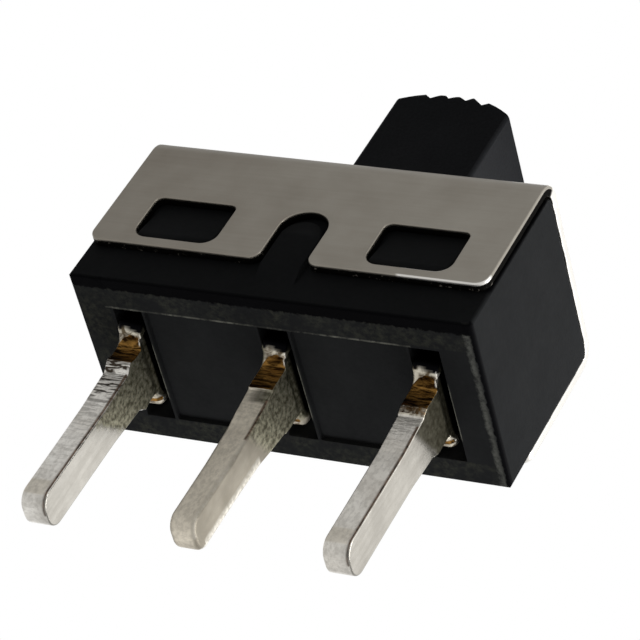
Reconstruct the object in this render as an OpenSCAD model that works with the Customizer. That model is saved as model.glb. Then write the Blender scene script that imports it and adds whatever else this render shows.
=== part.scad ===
// Slide switch: one pole, two positions, three straight terminals for a circuit board.
// +X runs along the travel of the knob, +Y across the body and +Z out of the knob side.
// The origin is on the board seat, midway between the ends and between the sides.
// The knob is drawn at its +X stop.

/* [Housing] */
// Length of the moulded housing
body_l = 12.7; // [11.8:0.1:15]
// Width of the moulded housing
body_w = 6.0; // [5.7:0.1:8]
// Height of the moulded housing above the board seat
body_h = 5.75; // [5.5:0.05:7]
// Thickness of the floor that holds the terminals
floor_t = 2.0; // [1.8:0.05:2.2]
// Rounding of the long edges at the board seat
seat_r = 0.1; // [0.06:0.02:0.6]
// Rounding of the long edges under the cover
shoulder_r = 0.45; // [0.35:0.05:0.7]
// Rounding of the short edges at both ends
end_r = 0.1; // [0.06:0.02:0.35]
// Depth of the two sunk panels between the terminals
panel_d = 0.16; // [0.08:0.02:0.4]
// Rim left between a panel and a terminal pocket
panel_rim = 0.08; // [0.06:0.02:0.4]

/* [Cover] */
// Thickness of the folded sheet
sheet_t = 0.3; // [0.2:0.02:0.4]
// Clearance between a skirt and the housing's side
cover_gap = 0.02; // [0.01:0.01:0.08]
// Clearance between the housing's rim and the sheet above it
lid_gap = 0.1; // [0.05:0.01:0.2]
// How far the sheet stops short of each end of the housing
cover_inset = 0.05; // [0:0.01:0.3]
// Inside radius of the two long bends
bend_r = 0.4; // [0.2:0.05:0.5]
// Height of a skirt's lower edge above the board seat
skirt_foot = 1.3; // [0.9:0.05:1.4]
// Rounding of the skirts' lower corners
skirt_r = 0.38; // [0.1:0.02:0.5]
// Distance between the middles of a skirt's two windows
window_pitch = 7.4; // [7:0.1:7.8]
// Length of a window
window_l = 2.64; // [2.2:0.02:2.8]
// Height of a window
window_h = 1.76; // [1.4:0.02:2]
// Strip of sheet under a window
window_sill = 0.34; // [0.3:0.02:0.7]
// Rounding of a window's upper corners
window_top_r = 0.24; // [0.1:0.02:0.4]
// Rounding of a window's lower corners
window_foot_r = 0.44; // [0.1:0.02:0.6]
// Width of the notch in the middle of a skirt
notch_w = 1.5; // [1.2:0.1:2.2]
// Height of the notch
notch_h = 2.2; // [1.6:0.04:2.6]
// Rounding where the notch meets the skirt's edge
notch_flare = 0.34; // [0.1:0.02:0.5]

/* [Snap features] */
// How far lugs and tongues stand out of the housing's sides
lug_proud = 0.25; // [0.1:0.01:0.28]
// Clearance between a lug and the ends of its window
lug_gap = 0.13; // [0.05:0.01:0.3]
// Clearance between a lug's catch and the window's lower edge
catch_gap = 0.05; // [0.02:0.01:0.1]
// Clearance between a tongue and the sides of its notch
tongue_gap = 0.12; // [0.05:0.01:0.3]
// Clearance between a tongue and the top of its notch
tongue_top_gap = 0.34; // [0.1:0.02:0.6]
// Length over which a tongue runs out into the side under its notch
tongue_fade = 0.7; // [0.2:0.05:0.8]

/* [Knob] */
// Length of the knob along its travel
knob_l = 3.85; // [3.2:0.05:4.4]
// Width of the knob
knob_w = 3.8; // [3:0.05:4]
// Height of the knob's crest above the cover
knob_h = 4.9; // [3.8:0.01:6]
// Travel between the two stops
travel = 2.0; // [1.6:0.1:2.2]
// Radius of the knob's crowned top
crown_r = 3.4; // [2.6:0.1:6]
// How far the crown's highest line lies to the rear of the knob's middle
crown_shift = 0.2; // [0:0.05:0.4]
// Distance between neighbouring grip grooves
groove_pitch = 0.58; // [0.46:0.02:0.7]
// Width of a grip groove
groove_w = 0.56; // [0.3:0.02:0.58]
// Depth of a grip groove
groove_d = 0.19; // [0.1:0.01:0.25]
// Share of a groove's width taken by its outer flank
groove_lean = 0.35; // [0.3:0.05:0.5]
// Number of grip grooves
groove_count = 4; // [2:1:4]
// Rounding of the knob's edges
knob_r = 0.12; // [0.06:0.02:0.3]
// Clearance around the knob in the cover's slot at a stop
knob_gap = 0.125; // [0.1:0.005:0.2]
// How far the carriage still reaches under the sheet at a stop
slot_lap = 0.15; // [0.05:0.05:0.3]
// How far the carriage reaches under the sheet on each side
side_lap = 0.4; // [0.3:0.02:0.45]
// Running clearance around the carriage
slide_gap = 0.05; // [0.03:0.01:0.08]
// Clearance left at each end stop
stop_gap = 0.1; // [0.05:0.01:0.12]

/* [Terminals] */
// Distance between neighbouring terminals
pin_pitch = 4.7; // [4.4:0.05:4.9]
// Width of a blade
blade_w = 1.2; // [1:0.05:1.4]
// Thickness of the stamped metal
blade_t = 0.8; // [0.7:0.05:0.9]
// Length of a blade below the board seat
blade_l = 6.6; // [3:0.1:8]
// Corner radius at a blade's tip
tip_r = 0.48; // [0.2:0.02:0.5]
// Width of the neck between head and blade
neck_w = 1.76; // [1.5:0.02:2]
// Depth of the neck below the board seat
neck_d = 1.12; // [0.7:0.02:1.2]
// Height of the sloped step from neck to blade
step_h = 0.38; // [0.2:0.02:0.6]
// Width of a head, over its two lugs
head_w = 3.1; // [2.8:0.05:3.4]
// How far the lugs reach below the board seat
lug_drop = 0.26; // [0.1:0.02:0.4]
// Fillet between a lug and the neck
lug_fillet = 0.3; // [0.1:0.02:0.34]
// Depth of the pocket around a head
pocket_d = 1.0; // [0.8:0.05:1.2]
// Clearance between a head and its pocket, across the body
pocket_gap_y = 0.48; // [0.2:0.02:0.6]
// How far the pockets lie off the terminals' middle, across the body
pocket_shift = 0.14; // [0:0.02:0.2]
// Clearance between a head and its pocket, along the body
pocket_gap_x = 0.07; // [0.04:0.01:0.12]
// Width of the shank that is pressed through the floor
shank_w = 2.4; // [2.2:0.05:2.6]
// Height of the outer terminals' contact edge above the floor
crown_rise = 0.35; // [0.25:0.05:0.45]

/* [Rocking contact] */
// Tilt of the rocking contact to each side
tilt = 6; // [5:0.5:6.5]
// Thickness of the contact bar
bar_t = 0.5; // [0.45:0.05:0.55]
// How far the bar reaches past the outer terminals
bar_over = 0.45; // [0.4:0.05:0.5]
// Clearance between the bar and a closed outer terminal
touch_gap = 0.02; // [0.01:0.01:0.04]
// Radius of the pivot edge on the middle terminal
pivot_r = 0.2; // [0.15:0.01:0.22]
// Radial clearance in the bar's pivot groove
pivot_gap = 0.03; // [0.02:0.01:0.05]
// Width of the pivot tongue on the middle terminal
tongue_w = 1.9; // [1.7:0.05:2]
// Thickness of the bar's two side ears
ear_t = 0.3; // [0.2:0.02:0.32]
// Depth of the side ears below the bar
ear_d = 0.45; // [0.3:0.05:0.5]
// Half length of a side ear
ear_l = 0.6; // [0.4:0.05:0.7]
// Clearance between an ear and the pivot tongue
ear_gap = 0.05; // [0.03:0.01:0.08]

/* [Plunger and spring] */
// Radius of the plunger
plunger_r = 0.8; // [0.65:0.05:0.9]
// Radial clearance of the plunger in its bore
bore_gap = 0.05; // [0.02:0.01:0.1]
// Clearance between the plunger's nose and the level bar
nose_gap = 0.02; // [0.01:0.01:0.05]
// Length of the plunger's straight part
plunger_l = 1.25; // [1:0.05:1.5]
// Radius of the stem inside the spring
stem_r = 0.36; // [0.3:0.02:0.4]
// Length of the stem
stem_l = 0.9; // [0.6:0.1:1.4]
// Length of the fitted spring
spring_l = 2.7; // [2.2:0.1:3.2]
// Radius of the spring's wire
wire_r = 0.12; // [0.08:0.01:0.14]
// Mean radius of the spring
coil_r = 0.58; // [0.56:0.01:0.62]
// Number of turns
coil_turns = 6; // [5:1:7]

/* [Hidden] */

// Small overshoot of every cut past the surface it opens, and root of every boss in its wall
past = 0.2;
// Facets of a full circle where a solid has to be meshed
$fn = 64;

BLACK = [0.09, 0.09, 0.095];
STEEL = [0.47, 0.45, 0.42];
TIN = [0.76, 0.74, 0.70];
BRASS = [0.72, 0.55, 0.28];
IVORY = [0.85, 0.82, 0.74];

// Cover and its slot
lid_z = body_h + lid_gap;
lid_top = lid_z + sheet_t;
skirt_y = body_w / 2 + cover_gap;
cover_l = body_l - 2 * cover_inset;
slot_l = knob_l + travel + 2 * knob_gap;
slot_w = knob_w + 2 * knob_gap;
slot_r = 0.25;
window_z = skirt_foot + window_sill;
notch_top = skirt_foot + notch_h;

// Rocking contact: the pivot lies as high above the outer contact edges as the tilted bar asks
crown_z = floor_t + crown_rise - blade_t / 2;
pivot_z = crown_z + (blade_t / 2 + touch_gap + pin_pitch * sin(tilt)) / cos(tilt);
bar_l = 2 * (pin_pitch + bar_over);
bar_w = tongue_w + 2 * (ear_gap + ear_t);
bar_high_z = pivot_z + bar_l / 2 * sin(tilt) + bar_t;
bar_room = 0.1;

// Carriage and the cavity it slides in
knob_x = travel / 2;
carriage_l = slot_l + travel + 2 * slot_lap;
carriage_w = knob_w + 2 * side_lap;
carriage_z = bar_high_z + bar_room;
carriage_top = lid_z - slide_gap;
knob_top = lid_top + knob_h;
cavity_l = max(carriage_l + travel + 2 * stop_gap, bar_l + 2 * bar_room);
cavity_w = carriage_w + 2 * slide_gap;
cavity_r = 0.25;

// Plunger, spring and their bore
nose_z = pivot_z + bar_t + nose_gap + plunger_r;
plunger_top = nose_z + plunger_l;
spring_seat_gap = 0.02;
spring_z = plunger_top + spring_seat_gap;
bore_top = spring_z + spring_l + spring_seat_gap;

// Terminals and their pockets
pocket_l = blade_t + 2 * pocket_gap_x;
pocket_w = head_w + 2 * pocket_gap_y;
lug_r = 0.12;
taper_h = 0.35;

// ---- Helpers ----

// Carries an outline drawn across the body (first coordinate Y, second Z) along X
module along_x(length) {
    rotate([90, 0, 90]) linear_extrude(length, center = true) children();
}

// Carries an outline drawn along the body (first coordinate X, second Z) along Y
module along_y(length) {
    rotate([90, 0, 0]) linear_extrude(length, center = true) children();
}

// Outline standing on the first axis, with one radius at its two lower corners, one at the upper
module standing_outline(w, h, foot_r, top_r) {
    mid = h / 2;
    translate([-w / 2, foot_r]) square([w, h - foot_r - top_r]);
    translate([-w / 2 + foot_r, 0]) square([w - 2 * foot_r, mid]);
    translate([-w / 2 + top_r, mid]) square([w - 2 * top_r, h - mid]);
    for (side = [-1, 1]) {
        translate([side * (w / 2 - foot_r), foot_r]) circle(foot_r);
        translate([side * (w / 2 - top_r), h - top_r]) circle(top_r);
    }
}

// Rectangle with rounded corners, centred
module plan_outline(l, w, r) {
    translate([0, -w / 2]) standing_outline(l, w, r, r);
}

// Fillet that fills the corner between the first axis and the second one, in the first quadrant
module corner_fillet(r) {
    difference() {
        square(r);
        translate([r, r]) circle(r);
    }
}

// ---- Housing ----

module lug() {
    top_z = window_z + window_h - 2 * catch_gap;
    foot_z = window_z + catch_gap;
    tip = 0.25;
    along_x(window_l - 2 * lug_gap)
        polygon([[0, foot_z], [past + lug_proud, foot_z], [past + lug_proud, foot_z + tip],
                 [past, top_z], [0, top_z]]);
}

module tongue() {
    w = notch_w - 2 * tongue_gap;
    top_z = notch_top - tongue_top_gap;
    foot_z = skirt_foot + 0.1;
    intersection() {
        along_y(4 * past) union() {
            translate([-w / 2, 0]) square([w, top_z - w / 2]);
            translate([0, top_z - w / 2]) circle(w / 2);
        }
        along_x(w) polygon([[0, foot_z - tongue_fade], [past, foot_z - tongue_fade],
            [past + lug_proud, foot_z], [past + lug_proud, top_z], [0, top_z]]);
    }
}

module snap_features() {
    for (turn = [0, 180]) rotate([0, 0, turn]) translate([0, body_w / 2 - past, 0]) {
        for (side = [-1, 1]) translate([side * window_pitch / 2, 0, 0]) lug();
        tongue();
    }
}

module sunk_panels() {
    l = pin_pitch - pocket_l - 2 * panel_rim;
    for (side = [-1, 1])
        translate([side * pin_pitch / 2, pocket_shift, -past])
            linear_extrude(past + panel_d) plan_outline(l, pocket_w, panel_rim);
}

module terminal_cuts() {
    for (i = [-1 : 1]) translate([i * pin_pitch, 0, 0]) {
        translate([0, pocket_shift, -past])
            linear_extrude(past + pocket_d) square([pocket_l, pocket_w], center = true);
        linear_extrude(floor_t + past) square([blade_t, shank_w], center = true);
    }
}

module housing() {
    plan_r = 0.12;
    color(BLACK) difference() {
        union() {
            intersection() {
                along_x(body_l) standing_outline(body_w, body_h, seat_r, shoulder_r);
                along_y(body_w) standing_outline(body_l, body_h, end_r, end_r);
                linear_extrude(body_h) plan_outline(body_l, body_w, plan_r);
            }
            snap_features();
        }
        translate([0, 0, floor_t])
            linear_extrude(body_h) plan_outline(cavity_l, cavity_w, cavity_r);
        terminal_cuts();
        sunk_panels();
    }
}

// ---- Cover ----

module skirt_cuts() {
    for (side = [-1, 1]) translate([side * window_pitch / 2, window_z])
        standing_outline(window_l, window_h, window_foot_r, window_top_r);
    translate([-notch_w / 2, skirt_foot - past]) square([notch_w, past + notch_h - notch_w / 2]);
    translate([0, notch_top - notch_w / 2]) circle(notch_w / 2);
    for (side = [0, 1]) mirror([side, 0]) translate([notch_w / 2, skirt_foot]) {
        corner_fillet(notch_flare);
        translate([-past, -past]) square([past + notch_flare, past]);
    }
}

module cover() {
    h = lid_top - skirt_foot;
    bend_out = bend_r + sheet_t;
    color(STEEL) difference() {
        along_x(cover_l) difference() {
            translate([0, -past]) standing_outline(2 * (skirt_y + sheet_t), lid_top + past, 0, bend_out);
            translate([0, -2 * past]) standing_outline(2 * skirt_y, lid_z + 2 * past, 0, bend_r);
        }
        along_y(body_w + 4 * past + 4 * sheet_t) {
            skirt_cuts();
            difference() {
                translate([-body_l, -2 * past]) square([2 * body_l, skirt_foot + 2 * past + h / 2]);
                translate([0, skirt_foot]) standing_outline(cover_l, h, skirt_r, 0);
            }
        }
        translate([0, 0, lid_z - past])
            linear_extrude(sheet_t + 2 * past) plan_outline(slot_l, slot_w, slot_r);
    }
}

// ---- Slider: knob and carriage in one moulding ----

function crown_height(h, x) = h - crown_r + sqrt(crown_r * crown_r - (x + crown_shift) * (x + crown_shift));

module knob_outline() {
    h = knob_top - carriage_top + past;
    translate([0, carriage_top - past]) difference() {
        intersection() {
            standing_outline(knob_l, h, 0, knob_r);
            translate([-crown_shift, h - crown_r]) circle(crown_r);
        }
        for (i = [0 : groove_count - 1]) {
            x = (i - (groove_count - 1) / 2) * groove_pitch;
            outer = x < 0 ? -groove_w * groove_lean : groove_w * groove_lean;
            inner = outer - sign(outer) * groove_w;
            translate([x, crown_height(h, x) - groove_d])
                polygon([[0, 0], [outer, crown_height(h, x + outer) - crown_height(h, x) + groove_d],
                         [outer, groove_d + past], [inner, groove_d + past],
                         [inner, crown_height(h, x + inner) - crown_height(h, x) + groove_d]]);
        }
    }
}

module slider() {
    color(BLACK) translate([knob_x, 0, 0]) difference() {
        union() {
            translate([0, 0, carriage_z])
                linear_extrude(carriage_top - carriage_z)
                    plan_outline(carriage_l, carriage_w, cavity_r);
            intersection() {
                along_y(knob_w) knob_outline();
                along_x(knob_l) translate([0, carriage_top - past])
                    standing_outline(knob_w, knob_top - carriage_top + past, 0, knob_r);
                translate([0, 0, carriage_top - past])
                    linear_extrude(knob_top) plan_outline(knob_l, knob_w, knob_r);
            }
        }
        translate([0, 0, carriage_z - past])
            cylinder(h = bore_top - carriage_z + past, r = plunger_r + bore_gap);
    }
}

// ---- Plunger and its spring, carried in the slider ----

module plunger() {
    color(IVORY) translate([knob_x, 0, 0]) {
        difference() {
            translate([0, 0, nose_z]) sphere(plunger_r);
            translate([0, 0, nose_z]) cylinder(h = 2 * plunger_r, r = 2 * plunger_r);
        }
        translate([0, 0, nose_z]) cylinder(h = plunger_l, r = plunger_r);
        translate([0, 0, plunger_top - past]) cylinder(h = stem_l + past, r = stem_r);
    }
}

// Round wire carried along a helix: ring i lies at turn i / per_turn, and its points go round
// the wire in the plane through the axis of the helix
module helix(radius, wire, height, turns) {
    per_turn = 14;
    sides = 8;
    rings = turns * per_turn;
    points = [for (i = [0 : rings], j = [0 : sides - 1])
        let (a = 360 * i / per_turn, b = 360 * j / sides, r = radius + wire * cos(b))
        [r * cos(a), r * sin(a), height * i / rings + wire * sin(b)]];
    sleeve = [for (i = [0 : rings - 1], j = [0 : sides - 1])
        let (k = (j + 1) % sides)
        [i * sides + j, i * sides + k, (i + 1) * sides + k, (i + 1) * sides + j]];
    ends = [[for (j = [sides - 1 : -1 : 0]) j], [for (j = [0 : sides - 1]) rings * sides + j]];
    polyhedron(points, concat(sleeve, ends), convexity = 10);
}

module plunger_spring() {
    color(STEEL) translate([knob_x, 0, spring_z + wire_r])
        helix(coil_r, wire_r, spring_l - 2 * wire_r, coil_turns);
}

// ---- Rocking contact: drawn tilted towards the right terminal ----

module rocking_contact() {
    ear_y = (bar_w - ear_t) / 2;
    color(BRASS) translate([0, 0, pivot_z]) rotate([0, tilt, 0]) {
        difference() {
            translate([-bar_l / 2, -bar_w / 2, 0]) cube([bar_l, bar_w, bar_t]);
            along_y(bar_w + 2 * past) circle(pivot_r + pivot_gap);
        }
        for (side = [-1, 1]) translate([0, side * ear_y, 0])
            difference() {
                translate([-ear_l, -ear_t / 2, -ear_d]) cube([2 * ear_l, ear_t, ear_d + bar_t / 2]);
                along_y(ear_t + 2 * past) circle(pivot_r + pivot_gap);
            }
    }
}

// ---- Terminals ----

// One half of the stamped outline below the floor, on the side of the positive first axis
module terminal_half() {
    neck = neck_w / 2;
    blade = blade_w / 2;
    lug_in = neck + lug_fillet;
    // blade with its rounded tip
    translate([0, -blade_l + tip_r]) square([blade, blade_l]);
    translate([0, -blade_l]) square([blade - tip_r, blade_l]);
    translate([blade - tip_r, -blade_l + tip_r]) circle(tip_r);
    // neck with its sloped step
    polygon([[0, -neck_d - step_h], [blade, -neck_d - step_h], [neck, -neck_d], [neck, 0], [0, 0]]);
    // head with a rounded lug, filleted into the neck
    translate([0, -lug_drop + lug_r]) square([head_w / 2, pocket_d + lug_drop - lug_r]);
    translate([0, -lug_drop]) square([head_w / 2 - lug_r, lug_drop]);
    translate([head_w / 2 - lug_r, -lug_drop + lug_r]) circle(lug_r);
    translate([neck, -lug_drop]) mirror([0, 1]) corner_fillet(lug_fillet);
}

module stamping() {
    along_x(blade_t) {
        for (side = [0, 1]) mirror([side, 0]) terminal_half();
        translate([-shank_w / 2, 0]) square([shank_w, floor_t]);
    }
}

module outer_terminal() {
    color(TIN) {
        stamping();
        along_y(shank_w) {
            translate([-blade_t / 2, pocket_d]) square([blade_t, crown_z - pocket_d]);
            translate([0, crown_z]) circle(blade_t / 2);
        }
    }
}

module left_terminal() {
    translate([-pin_pitch, 0, 0]) outer_terminal();
}

module right_terminal() {
    translate([pin_pitch, 0, 0]) outer_terminal();
}

module middle_terminal() {
    taper_z = pivot_z - taper_h;
    color(TIN) {
        stamping();
        along_y(tongue_w) {
            polygon([[-blade_t / 2, pocket_d], [blade_t / 2, pocket_d], [blade_t / 2, taper_z],
                     [pivot_r, pivot_z], [-pivot_r, pivot_z], [-blade_t / 2, taper_z]]);
            translate([0, pivot_z]) circle(pivot_r);
        }
    }
}

housing();
cover();
slider();
plunger();
plunger_spring();
rocking_contact();
left_terminal();
middle_terminal();
right_terminal();
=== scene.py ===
"""Looks of a small slide switch: black moulding, folded steel cover and three stamped terminals.

Lengths are in metres. MM turns the millimetres of the drawing into them. +X runs along the travel of the
knob, +Y across the body and +Z out of the knob side; z = 0 is the underside of the housing.
"""

import math
from functools import partial

import bmesh
import bpy
import numpy as np
from mathutils import Matrix, Vector
from mathutils.geometry import delaunay_2d_cdt


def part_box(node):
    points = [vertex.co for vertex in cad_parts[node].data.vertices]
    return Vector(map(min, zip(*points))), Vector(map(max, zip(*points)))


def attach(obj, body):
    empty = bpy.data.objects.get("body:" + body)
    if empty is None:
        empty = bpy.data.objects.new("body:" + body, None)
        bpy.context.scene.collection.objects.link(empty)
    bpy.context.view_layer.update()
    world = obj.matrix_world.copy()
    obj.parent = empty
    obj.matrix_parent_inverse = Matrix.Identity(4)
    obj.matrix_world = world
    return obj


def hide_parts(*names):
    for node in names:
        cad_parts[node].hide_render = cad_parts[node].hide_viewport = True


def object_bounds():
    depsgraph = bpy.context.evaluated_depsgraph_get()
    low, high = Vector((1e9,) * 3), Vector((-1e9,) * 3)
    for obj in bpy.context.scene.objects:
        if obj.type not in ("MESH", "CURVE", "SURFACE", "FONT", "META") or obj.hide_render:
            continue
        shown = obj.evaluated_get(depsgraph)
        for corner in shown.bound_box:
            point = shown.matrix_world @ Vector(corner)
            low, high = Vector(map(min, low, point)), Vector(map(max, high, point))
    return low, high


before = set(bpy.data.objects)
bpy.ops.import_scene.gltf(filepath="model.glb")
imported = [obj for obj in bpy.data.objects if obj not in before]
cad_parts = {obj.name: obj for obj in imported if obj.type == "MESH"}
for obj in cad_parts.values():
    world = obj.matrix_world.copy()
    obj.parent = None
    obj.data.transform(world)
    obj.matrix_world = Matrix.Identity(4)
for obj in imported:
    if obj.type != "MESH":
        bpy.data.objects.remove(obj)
cad_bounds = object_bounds()

MM = 0.001

# ---------------------------------------------------------------------------------------------------
# Camera: below the pin side, seen across one long side, with a long lens
# ---------------------------------------------------------------------------------------------------
CAMERA_PLACE = Vector((44.946, -60.280, -61.268)) * MM
CAMERA_AIM = Vector((0.627, -1.093, 1.474)) * MM
CAMERA_ROLL = math.radians(33.235)
CAMERA_LENS = 193.93


def facing(place, aim, roll=0.0):
    """Matrix of something at place whose -Z axis points at aim, turned by roll about that axis."""
    turn = (aim - place).to_track_quat("-Z", "Y").to_matrix().to_4x4()
    return Matrix.Translation(place) @ turn @ Matrix.Rotation(roll, 4, "Z")


camera_data = bpy.data.cameras.new("camera")
camera_data.lens = CAMERA_LENS
camera_data.sensor_width = 36.0
camera_data.clip_start = 0.002
camera_data.clip_end = 20.0
camera = bpy.data.objects.new("camera", camera_data)
camera.matrix_world = facing(CAMERA_PLACE, CAMERA_AIM, CAMERA_ROLL)
bpy.context.scene.collection.objects.link(camera)
bpy.context.scene.camera = camera

# ---------------------------------------------------------------------------------------------------
# Sizes of the pieces, in millimetres
# ---------------------------------------------------------------------------------------------------
cover_low, cover_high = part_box("cover")
SHEET = 0.3
COVER_HALF_X = cover_high.x / MM
COVER_HALF_Y = cover_high.y / MM
COVER_TOP = cover_high.z / MM
SKIRT_FOOT = cover_low.z / MM
BEND_IN = 0.4
SKIRT_CORNER = 0.38
WINDOW_X = 3.7
WINDOW_HALF = 1.32
WINDOW_LOW = 1.64
WINDOW_HIGH = 3.4
WINDOW_TOP_R = 0.24
WINDOW_FOOT_R = 0.44
NOTCH_HALF = 0.75
NOTCH_HIGH = 2.2
NOTCH_FLARE = 0.34
SLOT_HALF_X = 3.05
SLOT_HALF_Y = 2.025
SLOT_R = 0.25
# Of the blank: half the lid's flat middle, the length of a bend at mid sheet, and half the whole width
LID_UNDER = COVER_TOP - SHEET
FLAT_HALF = COVER_HALF_Y - SHEET - BEND_IN
BEND_ARC = math.pi / 2 * (BEND_IN + SHEET / 2)
BLANK_HALF = FLAT_HALF + BEND_ARC + LID_UNDER - BEND_IN - SKIRT_FOOT

# Terminals, from the blade's tip to the crowns on top
PIN_PITCH = 4.7
BLADE_T = 0.8
BLADE_HALF = 0.6
TIP_Z = -6.6
TIP_R = 0.48
WAIST_Z = -2.8
WAIST_R = 2.0
LEDGE_R = 0.055
NECK_HALF = 0.84
NECK_RISE = 0.25
NECK_R = 0.3
HEAD_HALF = 1.55
LUG_FILLET = 0.26
LUG_R = 0.3
SHOULDER = 1.0
SHANK_HALF = 1.2
STEP_Z = 1.9
CORNER_R = 0.06
TONGUE_HALF = 0.95
HALF_T = BLADE_T / 2
PIVOT_R = 0.2
TAPER = 0.35
# The head's face lies HEAD_SUNK deeper than the blade's, and stamped edges are rounded by STAMPED_R
HEAD_SUNK = 0.12
STAMPED_R = 0.04

SPRING_R = 0.58
WIRE_R = 0.12
SPRING_TURNS = 6

# Widths of the mouldings' softened edges, the angle past which an edge counts as sharp, and the height
# under which the housing has them
HOUSING_EDGE = 0.04
KNOB_EDGE = 0.03
SHARP_EDGE = math.radians(32)
PIN_SIDE_Z = 0.5


# ---------------------------------------------------------------------------------------------------
# Meshes
# ---------------------------------------------------------------------------------------------------
def ramp(value, start, end):
    """0 where value is at start or before it, 1 at end or past it, and even between them."""
    return np.clip((value - start) / (end - start), 0, 1)


def outline(corners, step):
    """Closed outline with the material on its left. Each corner (x, y, r) is an arc of radius r that
    touches both of its sides: the arc's centre lies r to the inner side of where it starts, and a point on
    it is the centre plus or minus r times the normal there. Straight stretches are cut into equal steps.
    Gives the points and their normals, which point out of the material."""
    corner = np.array(corners, float)
    place, radius = corner[:, :2], corner[:, 2]
    along = np.roll(place, -1, 0) - place
    along /= np.linalg.norm(along, axis=1)[:, None]
    before = np.roll(along, 1, 0)
    turn = np.arctan2(before[:, 0] * along[:, 1] - before[:, 1] * along[:, 0], (before * along).sum(1))
    reach = (radius * np.tan(np.abs(turn) / 2))[:, None]
    start, end = place - before * reach, place + along * reach
    points, normals = [], []
    for i in range(len(corner)):
        count = max(3, math.ceil(abs(turn[i]) * radius[i] / step) + 1)
        heading = math.atan2(before[i, 1], before[i, 0]) + turn[i] * np.linspace(0, 1, count)
        out = np.stack([np.sin(heading), -np.cos(heading)], 1)
        side = math.copysign(radius[i], turn[i])
        points.append(start[i] - side * out[0] + side * out)
        normals.append(out)
        gap = start[(i + 1) % len(corner)] - end[i]
        cuts = max(1, math.ceil(np.linalg.norm(gap) / step))
        share = np.arange(1, cuts)[:, None] / cuts
        points.append(end[i] + gap * share)
        normals.append(np.repeat(out[-1:], cuts - 1, 0))
    points, normals = np.vstack(points), np.vstack(normals)
    apart = np.linalg.norm(points - np.roll(points, 1, 0), axis=1) > 1e-6
    return points[apart], normals[apart]


def inside(point, loops):
    """True for each point with an odd number of loop sides to its right."""
    crossings = np.zeros(len(point), int)
    for loop in loops:
        a, b = loop, np.roll(loop, -1, 0)
        level = (a[None, :, 1] > point[:, None, 1]) != (b[None, :, 1] > point[:, None, 1])
        rise = np.where(a[:, 1] == b[:, 1], 1.0, b[:, 1] - a[:, 1])
        cut = a[None, :, 0] + (point[:, None, 1] - a[None, :, 1]) * ((b - a)[:, 0] / rise)[None, :]
        crossings += (level & (point[:, None, 0] < cut)).sum(1)
    return crossings % 2 == 1


def nearest(point, loops):
    """Distance of each point from the nearest point of any loop."""
    rim = np.vstack(loops)
    return np.sqrt(((point[:, None, :] - rim[None, :, :]) ** 2).sum(2)).min(1)


def filling(loops, inner):
    """Triangles over the loops' points and the inner points that cover the inside of the loops: a Delaunay
    net that keeps each loop's sides, without the triangles whose middle is outside."""
    points = np.vstack(loops + [inner])
    first = np.cumsum([0] + [len(loop) for loop in loops[:-1]])
    sides = [np.stack([k + np.arange(len(p)), k + (np.arange(len(p)) + 1) % len(p)], 1)
             for k, p in zip(first, loops)]
    net = delaunay_2d_cdt(list(map(Vector, points)), np.vstack(sides).tolist(), [], 0, 1e-7)
    origin = np.array([ids[0] for ids in net[3]])
    triangle = origin[np.array(net[2])]
    a, b, c = (points[triangle[:, i]] for i in range(3))
    area = (b - a)[:, 0] * (c - a)[:, 1] - (b - a)[:, 1] * (c - a)[:, 0]
    triangle[area < 0] = triangle[area < 0][:, ::-1]
    return triangle[inside((a + b + c) / 3, loops)]


def carried(shape, places, normals):
    """Places and normals after a change of shape. A new normal is the cross product of two small steps
    along the surface, each taken through the shape."""
    aside = np.where(np.abs(normals[:, :1]) < 0.7, [[1.0, 0.0, 0.0]], [[0.0, 1.0, 0.0]])
    first = np.cross(normals, aside)
    first /= np.linalg.norm(first, axis=1)[:, None]
    second = np.cross(normals, first)
    here = shape(places)
    out = np.cross(shape(places + 1e-5 * first) - here, shape(places + 1e-5 * second) - here)
    return here, out / np.linalg.norm(out, axis=1)[:, None]


def new_object(name, places, faces, normals=None, attributes=None):
    """Smooth-shaded mesh object from arrays, at the origin, with its own normals and point attributes."""
    mesh = bpy.data.meshes.new(name)
    mesh.from_pydata(places.tolist(), [], faces)
    mesh.polygons.foreach_set("use_smooth", np.ones(len(mesh.polygons), bool))
    for label, values in (attributes or {}).items():
        layer = mesh.attributes.new(label, "FLOAT", "POINT")
        layer.data.foreach_set("value", np.asarray(values, np.float32))
    if normals is not None:
        mesh.normals_split_custom_set_from_vertices(normals.tolist())
    mesh.update()
    piece = bpy.data.objects.new(name, mesh)
    bpy.context.scene.collection.objects.link(piece)
    return piece


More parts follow.
